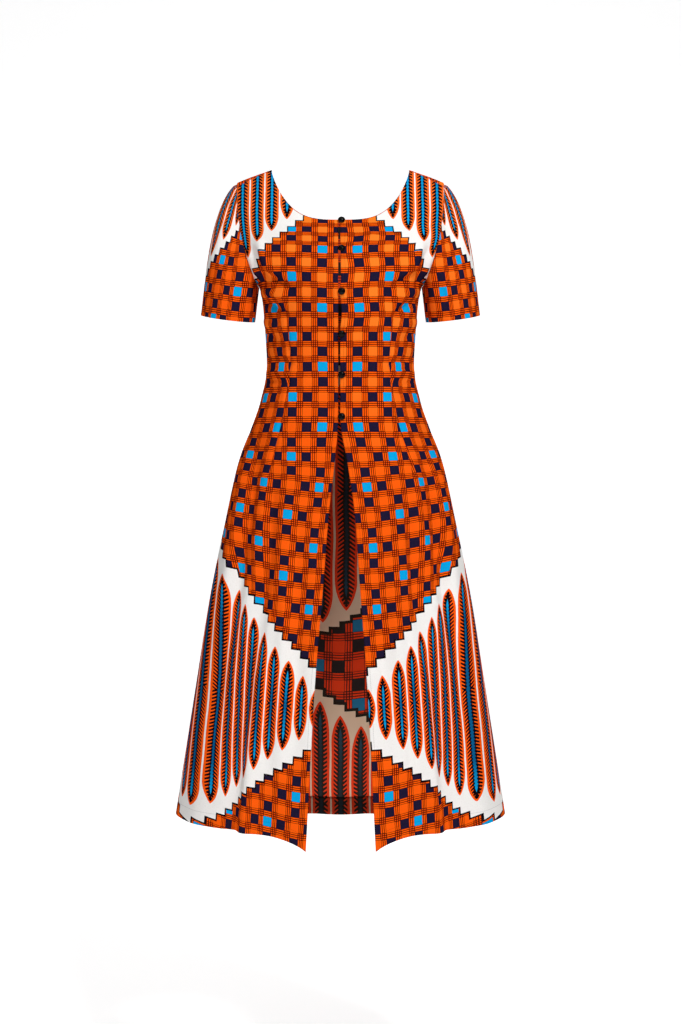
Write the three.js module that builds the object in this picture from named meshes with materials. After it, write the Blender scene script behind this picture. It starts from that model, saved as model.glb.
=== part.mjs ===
// A calf-length, short-sleeved top in woven cotton, worn filled out and open below the waist.
// Two fronts meet at six domed buttons in loops; the back is cut on the fold.
// Millimetres, +Z up, the front faces -Y and +X is the wearer's left. The origin lies midway
// between the two high points of the shoulders.
import * as THREE from 'three';

// ---- cloth ----
const CLOTH = 1.5; // wall of every cut piece
const SEAM_GAP = 0.3; // between two pieces that are sewn together
const EDGE_EASE = 0.4; // the inner face of a wall stops this much short of its edge
const SLEEVE_GAP = 0.7; // the sleeve's first ring stands off the armhole
const TURN_UP = 35; // depth of the back's hem, turned up inside
const TURN_UP_WALL = 1;

// ---- heights and widths ----
const HEM = -1217; // at the side seam
const UNDERARM = -223;
const NECK_HALF = 131; // high shoulder point from the centre
const NECK_RIDGE = 19; // height the shoulder ridge would have at the centre
const RIDGE_FALL = 0.00111; // how fast the ridge drops to the shoulder point
const SHOULDER_HALF = 196;
const SHOULDER_DROP = -34; // height of the shoulder seam's outer end
const SEAM_FORWARD = 1.5; // the shoulder seam's inner end lies this far below the ridge, in front
const FRONT_NECK_DROP = 105;
const BACK_NECK_DROP = 80;
const NECK_COLUMN_SHARE = 2 / 3; // share of a piece's columns that end on the neck
const NECK_ACROSS = 3.5; // squareness of the scooped neck, across and down
const NECK_DOWN = 1.2;
const ARMHOLE_ACROSS = 1.2;
const ARMHOLE_DOWN = 1.9;

// ---- the trunk, a row for each level ----
// half: half width between the side seams; front, back: depth from the middle;
// square: 2 is an ellipse, more is squarer. Above the underarm the rows follow the shoulder slope.
const TRUNK = [
  { level: 0, half: 226, front: 0, back: 0, square: 3 },
  { level: -5, half: 224, front: 13, back: 14, square: 3 },
  { level: -20, half: 220, front: 26, back: 31, square: 3 },
  { level: -50, half: 213, front: 39, back: 54, square: 3 },
  { level: -80, half: 208, front: 49, back: 71, square: 2.9 },
  { level: -110, half: 202, front: 63, back: 83, square: 2.8 },
  { level: -140, half: 196, front: 84, back: 91, square: 2.7 },
  { level: -170, half: 188, front: 102, back: 96, square: 2.6 },
  { level: -200, half: 174, front: 114, back: 98, square: 2.4 },
  { level: -223, half: 154, front: 118, back: 98, square: 2.3 },
  { level: -250, half: 148, front: 118, back: 95, square: 2.3 },
  { level: -300, half: 143.5, front: 108, back: 87, square: 2.3 },
  { level: -372, half: 139.7, front: 93, back: 82, square: 2.3 },
  { level: -436, half: 151, front: 98, back: 96, square: 2.3 },
  { level: -504, half: 174, front: 108, back: 117, square: 2.3 },
  { level: -573, half: 196, front: 119, back: 130, square: 2.3 },
  { level: -664, half: 217.5, front: 132, back: 138, square: 2.2 },
  { level: -801, half: 246, front: 149, back: 151, square: 2.2 },
  { level: -983, half: 275, front: 168, back: 169, square: 2.2 },
  { level: -1270, half: 320, front: 193, back: 193, square: 2.2 },
];

// ---- the front opening, a row for each level: how far each front's edge is from the centre ----
const OPENING = [
  { level: 0, right: 4.2, left: -1.2 },
  { level: -474, right: 4.2, left: -0.4 },
  { level: -560, right: 10.8, left: 13 },
  { level: -650, right: 21.2, left: 26 },
  { level: -770, right: 31, left: 35 },
  { level: -943, right: 46.5, left: 48.5 },
  { level: -1270, right: 65, left: 66 },
];
const BUTTON_HEIGHTS = [-107, -165, -245, -321, -396, -474];
const BUTTON_OFF_CENTRE = 2; // towards the wearer's left
const GAPE = 3; // how far the edge bows open between the upper buttons
const GAPING_BUTTONS = 3;

// ---- the hem and the soft folds of the skirt ----
const FRONT_DIP = 18; // the hem falls towards the centre
const BACK_DIP = 41;
const CORNER_DIP = 22; // and drops sharply at the front corners
const FOLD_START = -540;
const FRONT_FOLDS = [
  { at: 0.28, width: 0.1, out: -5 },
  { at: 0.44, width: 0.055, out: 9 },
  { at: 0.56, width: 0.06, out: -9 },
  { at: 0.8, width: 0.09, out: 6 },
];
const BACK_FOLDS = [
  { at: 0.16, width: 0.08, out: 8 },
  { at: 0.32, width: 0.07, out: -10 },
  { at: 0.5, width: 0.08, out: 10 },
  { at: 0.68, width: 0.07, out: -9 },
  { at: 0.84, width: 0.07, out: 7 },
];

// ---- sleeves ----
const CUFF = { x: 213.5, z: -281.5, across: 51.5, deep: 62, leanOut: 0.13, leanBack: 0.16 };
const CAP = { reach: 62, out: 0.75, rise: 0.25 }; // the cap stands out before it turns down the arm
const SLEEVE_UNDER = { reach: 12, out: 0.12, fall: 0.85 }; // the sleeve leaves the underarm nearly straight
const ARMHOLE_SPREAD = 110; // the smaller, the more front and back of the cap puff apart
const CAP_SOON = 1.35; // the cap is full from this far up the armhole: 1 is only at the top
const ARM_REACH = 70; // length over which the sleeve runs straight down the arm

// ---- buttons and loops ----
const BUTTON = { radius: 6.8, shank: 1.9, foot: 2.8, dome: 4.6 };
const LOOP_CORD = 0.6;

// ---- how finely the faceted cloth is cut ----
const FRONT_COLUMNS = 12;
const BACK_COLUMNS = 24;
const SKIRT_ROWS = 18;
const CHEST_ROWS = 9;
const SLEEVE_COLUMNS = 26;
const SLEEVE_ROWS = 8;
const FINE = 80; // points on a curve before it is shared out evenly

const smooth = (t) => {
  const c = Math.min(1, Math.max(0, t));
  return c * c * (3 - 2 * c);
};

// How far along the body a level lies. It grows as a square root from the shoulder ridge, so
// the cloth rounds over the ridge, and steadily below the underarm.
const reach = (level) =>
  level > UNDERARM ? Math.sqrt(level / UNDERARM) : 1 + (UNDERARM - level) / (-2 * UNDERARM);
const levelAt = (q) => (q < 1 ? UNDERARM * q * q : UNDERARM + 2 * UNDERARM * (q - 1));

// A column of a table at a place between its rows, on a smooth curve that doesn't overshoot.
function column(rows, name, q) {
  const key = (i) => reach(rows[i].level);
  let i = 0;
  while (i < rows.length - 2 && key(i + 1) < q) i += 1;
  const slope = (j) =>
    (rows[j + 1][name] - rows[j][name]) / (key(j + 1) - key(j));
  const bend = (j) => {
    if (j <= 0) return slope(0);
    if (j >= rows.length - 1) return slope(rows.length - 2);
    const [a, b] = [slope(j - 1), slope(j)];
    return a * b <= 0 ? 0 : (2 * a * b) / (a + b);
  };
  const step = key(i + 1) - key(i);
  const t = Math.min(1, Math.max(0, (q - key(i)) / step));
  const [a, b] = [rows[i][name], rows[i + 1][name]];
  const t2 = t * t;
  const t3 = t2 * t;
  return a * (2 * t3 - 3 * t2 + 1) + b * (3 * t2 - 2 * t3)
    + step * (bend(i) * (t3 - 2 * t2 + t) + bend(i + 1) * (t3 - t2));
}

const ridge = (x) => NECK_RIDGE - RIDGE_FALL * x * x;

// A point of the trunk. q is the reach down the front where it is positive, down the back
// where it is negative, and 0 on the shoulder ridge.
function trunkPoint(x, q) {
  const down = Math.abs(q);
  const level = levelAt(down);
  const z = level > UNDERARM
    ? UNDERARM + (ridge(x) - UNDERARM) * (1 - level / UNDERARM) : level;
  const half = column(TRUNK, 'half', down);
  const square = column(TRUNK, 'square', down);
  const across = Math.min(1, Math.abs(x) / half);
  const round = (1 - across ** square) ** (1 / square);
  const depth = q > 0 ? -column(TRUNK, 'front', down) : column(TRUNK, 'back', down);
  return new THREE.Vector3(x, depth * round, z);
}

// The reach of a height on the trunk, at a distance x from the centre.
const reachOf = (x, z) =>
  z < UNDERARM ? reach(z) : Math.sqrt(1 - (z - UNDERARM) / (ridge(x) - UNDERARM));

// Shares a run of points out at even distances.
function evenly(points, count) {
  const along = [0];
  points.slice(1).forEach((p, i) => along.push(along[i] + p.distanceTo(points[i])));
  const result = [];
  let i = 0;
  for (let k = 0; k <= count; k += 1) {
    const target = along[along.length - 1] * (k / count);
    while (i < points.length - 2 && along[i + 1] < target) i += 1;
    const t = (target - along[i]) / (along[i + 1] - along[i]);
    result.push(points[i].clone().lerp(points[i + 1], t));
  }
  return result;
}

// A place on an edge of a piece, as x and reach, at a share of the edge's length.
function edgePlace(places, share) {
  const points = places.map(([x, q]) => trunkPoint(x, q));
  const along = [0];
  points.slice(1).forEach((p, i) => along.push(along[i] + p.distanceTo(points[i])));
  const target = share * along[along.length - 1];
  let i = 0;
  while (i < places.length - 2 && along[i + 1] < target) i += 1;
  const t = (target - along[i]) / (along[i + 1] - along[i]);
  return mix(places[i], places[i + 1], t);
}

const mix = (a, b, t) => a.map((value, k) => value + (b[k] - value) * t);
const upTo = (count) => Array.from({ length: count + 1 }, (_, i) => i / count);
const quarter = (t, sharp) => Math.max(0, t) ** (2 / sharp);

// Edges of the pieces on the +X side, each from its low end to its high end.
const shoulderPoint = [SHOULDER_HALF, reachOf(SHOULDER_HALF, SHOULDER_DROP)];
const neckPoint = [NECK_HALF, reachOf(NECK_HALF, ridge(NECK_HALF) - SEAM_FORWARD)];
const neckEdge = (drop, side) => upTo(FINE).slice(0, -1).map((s) => {
  const t = (1 - s) * Math.PI / 2;
  const x = NECK_HALF * quarter(Math.cos(t), NECK_ACROSS);
  return [x, side * reachOf(x, -drop * quarter(Math.sin(t), NECK_DOWN))];
}).filter(([, q]) => Math.abs(q) > neckPoint[1]).concat([neckPoint]);
const armholeEdge = (side) => {
  const low = column(TRUNK, 'half', 1);
  return upTo(FINE).slice(0, -1).map((s) => {
    const t = (1 - s) * Math.PI / 2;
    const x = low + (SHOULDER_HALF - low) * quarter(Math.cos(t), ARMHOLE_ACROSS);
    const top = side > 0 ? SHOULDER_DROP : ridge(SHOULDER_HALF);
    const z = top + (UNDERARM - top) * quarter(Math.sin(t), ARMHOLE_DOWN);
    return [x, side * reachOf(x, Math.max(UNDERARM, z))];
  }).concat([shoulderPoint]);
};

// How far a front's edge is from the centre, bowing open between the upper buttons.
function openingEdge(name, level) {
  let edge = column(OPENING, name, reach(level));
  BUTTON_HEIGHTS.slice(0, GAPING_BUTTONS).forEach((top, i) => {
    const low = BUTTON_HEIGHTS[i + 1];
    if (name === 'left' && level < top && level > low) {
      edge += GAPE * Math.sin(Math.PI * (top - level) / (top - low)) ** 2;
    }
  });
  return edge;
}

// How far a soft fold lifts the skirt, at a share of the way round from the centre.
function foldLift(folds, share, level) {
  const grown = smooth((FOLD_START - level) / (FOLD_START - HEM));
  return folds.reduce((sum, fold) =>
    sum + fold.out * grown * Math.exp(-(((share - fold.at) / fold.width) ** 2)), 0);
}

// One row of a piece below the underarm, from the centre or the opening to the side seam.
function skirtRow(side, startX, level, folds) {
  const dipGrown = smooth((FOLD_START - level) / (FOLD_START - HEM));
  const end = column(TRUNK, 'half', reach(level));
  return upTo(FINE).map((s) => {
    const share = Math.sin(s * Math.PI / 2);
    const x = startX + (end - startX) * share;
    const dip = side > 0
      ? FRONT_DIP * (1 - share) + CORNER_DIP * (1 - share) ** 8 : BACK_DIP * (1 - share * share);
    const low = level - dipGrown * dip;
    const point = trunkPoint(Math.min(x, column(TRUNK, 'half', reach(low))), side * reach(low));
    const outward = new THREE.Vector3(point.x / end, point.y / end, 0).normalize();
    return point.addScaledVector(outward, foldLift(folds, share, level));
  });
}

// The points of half a front or half the back, a list for each row, from the hem up. Below the
// underarm each row is shared out evenly round the body. Above it the net is stretched between
// the centre edge, the armhole and the top edge, which is the neck and then the shoulder seam.
function halfPiece({ side, opening, folds, neckDrop, columns, levels }) {
  const startX = (level) => (opening ? openingEdge(opening, level) : 0);
  const net = levels.map((level) =>
    evenly(skirtRow(side, startX(level), level, folds), columns));
  const bottom = net[net.length - 1].map((p) => [p.x, side]);
  const neckCorner = [startX(-neckDrop), side * reachOf(0, -neckDrop)];
  const neck = neckEdge(neckDrop, side);
  const armhole = armholeEdge(side);
  const neckColumns = Math.round(columns * NECK_COLUMN_SHARE);
  const topAt = (c) => (c <= neckColumns
    ? edgePlace(neck, c / neckColumns)
    : mix(neckPoint, shoulderPoint, (c - neckColumns) / (columns - neckColumns)));
  const top = bottom.map((_, c) => (c === 0 ? neckCorner : topAt(c)));
  for (let r = 1; r <= CHEST_ROWS; r += 1) {
    const v = Math.sin((r / CHEST_ROWS) * Math.PI / 2); // closer rows where the cloth rounds over
    const inner = mix(bottom[0], neckCorner, v);
    const outer = edgePlace(armhole, v);
    net.push(bottom.map((low, c) => {
      const u = c / columns;
      const place = [0, 1].map((k) => {
        const upright = (1 - v) * low[k] + v * top[c][k];
        const across = (1 - u) * inner[k] + u * outer[k];
        const corners = (1 - v) * ((1 - u) * bottom[0][k] + u * bottom[columns][k])
          + v * ((1 - u) * top[0][k] + u * top[columns][k]);
        return upright + across - corners;
      });
      return trunkPoint(...place);
    }));
  }
  const pull = (point, inward) =>
    point.addScaledVector(inward.clone().sub(point).normalize(), SEAM_GAP / 2);
  net.forEach((row) => pull(row[columns], row[columns - 1]));
  const last = net.length - 1;
  net[last].slice(neckColumns).forEach((p, i) => pull(p, net[last - 1][neckColumns + i]));
  return net;
}

const mirrored = (rows) => rows.map((row) => row.map((p) => new THREE.Vector3(-p.x, p.y, p.z)));

// Levels of the rows below the underarm, from the hem up.
const levelsFrom = (first) => [HEM, ...upTo(SKIRT_ROWS).map((s) => first + (UNDERARM - first) * s)];

// ---- walls ----

// The trunk's own outward normal at a point of the shoulder seam, the same for front and back.
function seamNormal(p) {
  const q = reachOf(Math.abs(p.x), p.z);
  const step = 0.02;
  const across = trunkPoint(p.x + 1, q).sub(trunkPoint(p.x - 1, q));
  const up = trunkPoint(p.x, q - step).sub(trunkPoint(p.x, q + step));
  return across.cross(up).normalize();
}
const onShoulderSeam = (p) => Math.abs(p.x) > NECK_HALF - SEAM_GAP;

// The outward normal at each point of a net; a closed net joins its last column to its first.
function netNormals(net, closed) {
  const rows = net.length;
  const columns = net[0].length;
  return net.map((row, r) => row.map((_, c) => {
    const left = closed ? (c - 1 + columns) % columns : Math.max(0, c - 1);
    const right = closed ? (c + 1) % columns : Math.min(columns - 1, c + 1);
    const across = net[r][right].clone().sub(net[r][left]);
    const up = net[Math.min(rows - 1, r + 1)][c].clone().sub(net[Math.max(0, r - 1)][c]);
    return across.cross(up).normalize();
  }));
}

// A closed solid between a net and the same net moved by `wall` against its normals. The inner
// net stops a little short of every free edge, so two walls that meet at an angle stay apart.
function clothWall(net, wall, { closed = false, flip = false, shoulder = false } = {}) {
  const rows = net.length;
  const columns = net[0].length;
  const sign = flip ? -1 : 1;
  const normals = netNormals(net, closed);
  if (shoulder) {
    normals[rows - 1] = net[rows - 1].map((p, c) =>
      (onShoulderSeam(p) ? seamNormal(p).multiplyScalar(sign) : normals[rows - 1][c]));
  }
  const positions = [];
  net.forEach((row) => row.forEach((p) => positions.push(p.x, p.y, p.z)));
  net.forEach((row, r) => row.forEach((p, c) => {
    const inner = p.clone().addScaledVector(normals[r][c], -sign * wall);
    const ease = (q) => inner.addScaledVector(q.clone().sub(p).normalize(), EDGE_EASE);
    if (r === 0) ease(net[1][c]);
    if (r === rows - 1) ease(net[rows - 2][c]);
    if (!closed && c === 0) ease(net[r][1]);
    if (!closed && c === columns - 1) ease(net[r][columns - 2]);
    positions.push(inner.x, inner.y, inner.z);
  }));
  const inside = rows * columns;
  const at = (r, c) => r * columns + (c % columns);
  const triangles = [];
  const quad = (a, b, c, d) => {
    const corners = flip ? [a, d, c, b] : [a, b, c, d];
    triangles.push(corners[0], corners[1], corners[2], corners[0], corners[2], corners[3]);
  };
  const spans = closed ? columns : columns - 1;
  for (let r = 0; r < rows - 1; r += 1) {
    for (let c = 0; c < spans; c += 1) {
      const [a, b, d, e] = [at(r, c), at(r, c + 1), at(r + 1, c + 1), at(r + 1, c)];
      quad(a, b, d, e);
      quad(a + inside, e + inside, d + inside, b + inside);
    }
  }
  for (let c = 0; c < spans; c += 1) {
    const top = rows - 1;
    quad(at(0, c + 1), at(0, c), at(0, c) + inside, at(0, c + 1) + inside);
    quad(at(top, c), at(top, c + 1), at(top, c + 1) + inside, at(top, c) + inside);
  }
  if (!closed) {
    for (let r = 0; r < rows - 1; r += 1) {
      const end = columns - 1;
      quad(at(r, 0), at(r + 1, 0), at(r + 1, 0) + inside, at(r, 0) + inside);
      quad(at(r + 1, end), at(r, end), at(r, end) + inside, at(r + 1, end) + inside);
    }
  }
  const geometry = new THREE.BufferGeometry();
  geometry.setAttribute('position', new THREE.Float32BufferAttribute(positions, 3));
  geometry.setIndex(triangles);
  return geometry;
}

// ---- finishes ----
const finish = (color, roughness, metalness = 0) =>
  new THREE.MeshStandardMaterial({ color, roughness, metalness });
const COTTON = finish(0xe4601c, 0.75);
const COTTON_INSIDE = finish(0xa5472c, 0.8);
const BLACK_GLOSS = finish(0x0b0b0d, 0.12);
const BLACK_CORD = finish(0x141214, 0.6);

const garment = new THREE.Group();
function place(name, geometry, material) {
  const mesh = new THREE.Mesh(geometry, material);
  mesh.name = name;
  garment.add(mesh);
  return mesh;
}

// ---- fronts ----
const frontShape = {
  side: 1,
  folds: FRONT_FOLDS,
  neckDrop: FRONT_NECK_DROP,
  columns: FRONT_COLUMNS,
  levels: levelsFrom(HEM + TURN_UP),
};
const leftNet = halfPiece({ ...frontShape, opening: 'left' });
const rightNet = mirrored(halfPiece({ ...frontShape, opening: 'right' }));
place('front_left', clothWall(leftNet, CLOTH, { shoulder: true }), COTTON);
place('front_right', clothWall(rightNet, CLOTH, { flip: true, shoulder: true }), COTTON);

// ---- back, cut on the fold: the half piece and its mirror image share the centre column ----
const halfBack = halfPiece({
  side: -1,
  opening: null,
  folds: BACK_FOLDS,
  neckDrop: BACK_NECK_DROP,
  columns: BACK_COLUMNS / 2,
  levels: levelsFrom(HEM + TURN_UP),
});
const backNet = mirrored(halfBack).map((row, r) => [...row.slice(1).reverse(), ...halfBack[r]]);
place('back', clothWall(backNet, CLOTH, { flip: true, shoulder: true }), COTTON);

// The hem's turn-up lies against the inside of the back, on the same points, moved in.
const backNormals = netNormals(backNet, false);
const turnUpNet = [0, 1].map((r) => backNet[r].slice(1, -1).map((p, c) =>
  p.clone().addScaledVector(backNormals[r][c + 1], CLOTH + SEAM_GAP)));
place('back_hem', clothWall(turnUpNet, TURN_UP_WALL, { flip: true }), COTTON_INSIDE);

// ---- sleeves: rings that run from the armhole to the cuff ----
function sleeveNet() {
  const front = armholeEdge(1).map(([x, q]) => trunkPoint(x, q));
  const back = armholeEdge(-1).map(([x, q]) => trunkPoint(x, q)).reverse();
  const ring = evenly([...front, ...back.slice(1)], SLEEVE_COLUMNS).slice(0, -1);
  const top = ring.reduce((a, b) => (b.z > a.z ? b : a));
  const arm = new THREE.Vector3(CUFF.leanOut, 0, -1).normalize();
  const columns = ring.map((start, i) => {
    const round = (i / ring.length) * 2 * Math.PI;
    const height = (start.z - UNDERARM) / (top.z - UNDERARM);
    const cuff = new THREE.Vector3(
      CUFF.x - CUFF.across * Math.cos(round), -CUFF.deep * Math.sin(round), CUFF.z);
    cuff.z += (cuff.x - CUFF.x) * CUFF.leanOut + cuff.y * CUFF.leanBack;
    const up = smooth(height * CAP_SOON);
    const outward = new THREE.Vector3(SLEEVE_UNDER.out + CAP.out * up,
      start.y / ARMHOLE_SPREAD, CAP.rise * height - SLEEVE_UNDER.fall).normalize();
    const out = SLEEVE_UNDER.reach + (CAP.reach - SLEEVE_UNDER.reach) * up;
    const seam = start.clone().add(new THREE.Vector3(SLEEVE_GAP, 0, -SLEEVE_GAP * (1 - height)));
    return new THREE.CubicBezierCurve3(
      seam,
      seam.clone().addScaledVector(outward, out),
      cuff.clone().addScaledVector(arm, -Math.min(ARM_REACH, seam.distanceTo(cuff) / 2.5)),
      cuff,
    ).getPoints(SLEEVE_ROWS);
  });
  return upTo(SLEEVE_ROWS).map((_, r) => columns.map((points) => points[r]));
}
const leftSleeve = sleeveNet();
place('sleeve_left', clothWall(leftSleeve, CLOTH, { closed: true, flip: true }), COTTON);
place('sleeve_right', clothWall(mirrored(leftSleeve), CLOTH, { closed: true }), COTTON);

// ---- buttons and loops ----

// A frame standing on the left front at a button: origin on the cloth, z outward, x to the side.
function buttonSeat(net, height) {
  const r = net.findIndex((row) => row[0].z > height) - 1;
  const share = (height - net[r][0].z) / (net[r + 1][0].z - net[r][0].z);
  const edge = net[r][0].clone().lerp(net[r + 1][0], share);
  const side = net[r][1].clone().lerp(net[r + 1][1], share).sub(edge).normalize();
  const up = net[r + 1][0].clone().sub(net[r][0]).normalize();
  const out = side.clone().cross(up).normalize();
  const seat = edge.clone().addScaledVector(side, (BUTTON_OFF_CENTRE - edge.x) / side.x);
  return new THREE.Matrix4().makeBasis(side, out.clone().cross(side), out).setPosition(seat);
}

function buttonGeometry() {
  const dome = upTo(5).map((s) => {
    const t = s * Math.PI / 2;
    return new THREE.Vector2(BUTTON.radius * Math.cos(t), BUTTON.foot + BUTTON.dome * Math.sin(t));
  });
  dome[dome.length - 1].x = 0;
  const profile = [
    new THREE.Vector2(0, SEAM_GAP),
    new THREE.Vector2(BUTTON.shank, SEAM_GAP),
    new THREE.Vector2(BUTTON.shank, BUTTON.foot),
    ...dome,
  ];
  return new THREE.LatheGeometry(profile, 14).rotateX(Math.PI / 2);
}

function loopGeometry() {
  const right = -BUTTON_OFF_CENTRE - 2.9;
  const lift = LOOP_CORD + 3 * SEAM_GAP;
  const round = BUTTON.shank + LOOP_CORD + SEAM_GAP;
  const half = [[right, 3, -0.7], [right + 0.5, 3.2, 0.6], [right + 2.3, 3.4, lift],
    [0.4, round + 0.3, lift], [0.75 * round, 0.75 * round, lift]];
  const back = half.map(([x, y, z]) => [x, -y, z]).reverse();
  const points = [...half, [round + 0.2, 0, lift], ...back].map((p) => new THREE.Vector3(...p));
  const section = new THREE.Shape();
  section.absarc(0, 0, LOOP_CORD, 0, 2 * Math.PI);
  return new THREE.ExtrudeGeometry(section, {
    curveSegments: 3, steps: 18, bevelEnabled: false,
    extrudePath: new THREE.CatmullRomCurve3(points),
  });
}

BUTTON_HEIGHTS.forEach((height, i) => {
  const seat = buttonSeat(leftNet, height);
  const parts = [['button', buttonGeometry(), BLACK_GLOSS], ['loop', loopGeometry(), BLACK_CORD]];
  parts.forEach(([name, geometry, material]) => {
    const mesh = place(`${name}_${i + 1}`, geometry, material);
    seat.decompose(mesh.position, mesh.quaternion, mesh.scale);
  });
});

export default garment;
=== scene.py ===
import bmesh
import bpy
import numpy as np
from mathutils import Matrix, Vector


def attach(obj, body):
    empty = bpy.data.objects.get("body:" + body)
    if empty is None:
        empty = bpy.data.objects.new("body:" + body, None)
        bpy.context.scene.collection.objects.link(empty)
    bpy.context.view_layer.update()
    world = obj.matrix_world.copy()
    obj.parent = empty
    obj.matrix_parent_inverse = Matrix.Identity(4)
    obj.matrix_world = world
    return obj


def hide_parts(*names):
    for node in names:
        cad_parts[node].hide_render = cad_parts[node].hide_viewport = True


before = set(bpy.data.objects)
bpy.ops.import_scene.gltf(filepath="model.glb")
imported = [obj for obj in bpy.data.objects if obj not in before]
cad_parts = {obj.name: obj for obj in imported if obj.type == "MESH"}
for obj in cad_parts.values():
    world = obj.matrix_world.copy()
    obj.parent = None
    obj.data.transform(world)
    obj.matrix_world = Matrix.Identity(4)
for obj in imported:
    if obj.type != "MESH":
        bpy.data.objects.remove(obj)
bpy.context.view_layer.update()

# ---- The body of the garment ----
# All four panels lie on one form: sections that grow from the shoulder ridge to the hem, each a
# rounded oblong. The sizes are those of the cut pieces, so the fine cloth lies on the plain one.
HEM = -1.217  # at the side seam
UNDERARM = -0.223
NECK_HALF = 0.131
NECK_RIDGE = 0.019
RIDGE_FALL = 1.11
SHOULDER_HALF = 0.196
SHOULDER_DROP = -0.034
SEAM_FORWARD = 0.0015
SEAM_GAP = 0.0003
# Half widths and depths down the body; a section whose "square" is 2 would be an ellipse.
TRUNK = [
    {"level": 0.0, "half": 0.226, "front": 0.0, "back": 0.0, "square": 3.0},
    {"level": -0.005, "half": 0.224, "front": 0.013, "back": 0.014, "square": 3.0},
    {"level": -0.020, "half": 0.220, "front": 0.026, "back": 0.031, "square": 3.0},
    {"level": -0.050, "half": 0.213, "front": 0.039, "back": 0.054, "square": 3.0},
    {"level": -0.080, "half": 0.208, "front": 0.049, "back": 0.071, "square": 2.9},
    {"level": -0.110, "half": 0.202, "front": 0.063, "back": 0.083, "square": 2.8},
    {"level": -0.140, "half": 0.196, "front": 0.084, "back": 0.091, "square": 2.7},
    {"level": -0.170, "half": 0.188, "front": 0.102, "back": 0.096, "square": 2.6},
    {"level": -0.200, "half": 0.174, "front": 0.114, "back": 0.098, "square": 2.4},
    {"level": -0.223, "half": 0.154, "front": 0.118, "back": 0.098, "square": 2.3},
    {"level": -0.250, "half": 0.148, "front": 0.118, "back": 0.095, "square": 2.3},
    {"level": -0.300, "half": 0.1435, "front": 0.108, "back": 0.087, "square": 2.3},
    {"level": -0.372, "half": 0.1397, "front": 0.093, "back": 0.082, "square": 2.3},
    {"level": -0.436, "half": 0.151, "front": 0.098, "back": 0.096, "square": 2.3},
    {"level": -0.504, "half": 0.174, "front": 0.108, "back": 0.117, "square": 2.3},
    {"level": -0.573, "half": 0.196, "front": 0.119, "back": 0.130, "square": 2.3},
    {"level": -0.664, "half": 0.2175, "front": 0.132, "back": 0.138, "square": 2.2},
    {"level": -0.801, "half": 0.246, "front": 0.149, "back": 0.151, "square": 2.2},
    {"level": -0.983, "half": 0.275, "front": 0.168, "back": 0.169, "square": 2.2},
    {"level": -1.270, "half": 0.320, "front": 0.193, "back": 0.193, "square": 2.2},
]
NECK_SHARP = {"across": 3.5, "down": 1.2}  # 2 is round, more is squarer
ARMHOLE_SHARP = {"across": 1.2, "down": 1.9}
FOLD_START = -0.540  # the skirt's folds grow from here to the hem
CHEST_ROWS = 84
SKIRT_ROWS = 170
FINE = 260  # points on a curve before it is shared out evenly


def smooth(t):
    c = np.clip(t, 0, 1)
    return c * c * (3 - 2 * c)


def reach(level):
    """How far along the body a level lies, as a root above the underarm and steadily below it."""
    share = np.maximum(np.asarray(level, float) / UNDERARM, 0)
    return np.where(share < 1, np.sqrt(share), 1 + (share - 1) / 2)


def curve(rows, name):
    """A smooth curve that doesn't overshoot, through a table's column, against the reach."""
    key = reach([row["level"] for row in rows])
    value = np.array([row[name] for row in rows])
    slope = np.diff(value) / np.diff(key)
    product = slope[:-1] * slope[1:]
    total = np.where(product > 0, slope[:-1] + slope[1:], 1)
    bend = np.concatenate([slope[:1], np.where(product > 0, 2 * product / total, 0), slope[-1:]])

    def at(q):
        i = np.clip(np.searchsorted(key, q) - 1, 0, len(key) - 2)
        step = key[i + 1] - key[i]
        t = np.clip((q - key[i]) / step, 0, 1)
        ends = value[i] * (2 * t**3 - 3 * t**2 + 1) + value[i + 1] * (3 * t**2 - 2 * t**3)
        return ends + step * (bend[i] * (t**3 - 2 * t**2 + t) + bend[i + 1] * (t**3 - t**2))

    return at


half_at, front_at, back_at, square_at = (
    curve(TRUNK, name) for name in ("half", "front", "back", "square"))


def ridge(x):
    """The height of the shoulder ridge at a distance from the centre."""
    return NECK_RIDGE - RIDGE_FALL * x**2


def reach_of(x, z):
    """The reach of a height, at a distance x from the centre."""
    above = np.sqrt(np.maximum(1 - (z - UNDERARM) / (ridge(x) - UNDERARM), 0))
    return np.where(z < UNDERARM, reach(z), above)


def trunk(x, q):
    """Points of the form: q is the reach down the front, or with a minus down the back."""
    down = np.abs(q)
    level = np.where(down < 1, UNDERARM * down**2, UNDERARM * (2 * down - 1))
    above = UNDERARM + (ridge(x) - UNDERARM) * (1 - level / UNDERARM)
    z = np.where(level > UNDERARM, above, level)
    across = np.minimum(1, np.abs(x) / half_at(down))
    square = square_at(down)
    rounding = np.maximum(1 - across**square, 0) ** (1 / square)
    depth = np.where(q > 0, -front_at(down), back_at(down))
    return np.stack([x, depth * rounding, z], axis=-1)


def quarter(t, sharp):
    """One axis of a quarter of a rounded oblong."""
    return np.maximum(0, t) ** (2 / sharp)


def along(points):
    """The length of a run of points up to each of them."""
    steps = np.linalg.norm(np.diff(points, axis=0), axis=1)
    return np.concatenate([[0], np.cumsum(steps)])


def shared(points, shares, length=None):
    """Places on a run of points at shares of its length."""
    length = along(points) if length is None else length
    return np.stack([np.interp(shares * length[-1], length, column) for column in points.T], axis=-1)


shoulder_point = np.array([SHOULDER_HALF, reach_of(SHOULDER_HALF, SHOULDER_DROP)])
neck_point = np.array([NECK_HALF, reach_of(NECK_HALF, ridge(NECK_HALF) - SEAM_FORWARD)])


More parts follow.
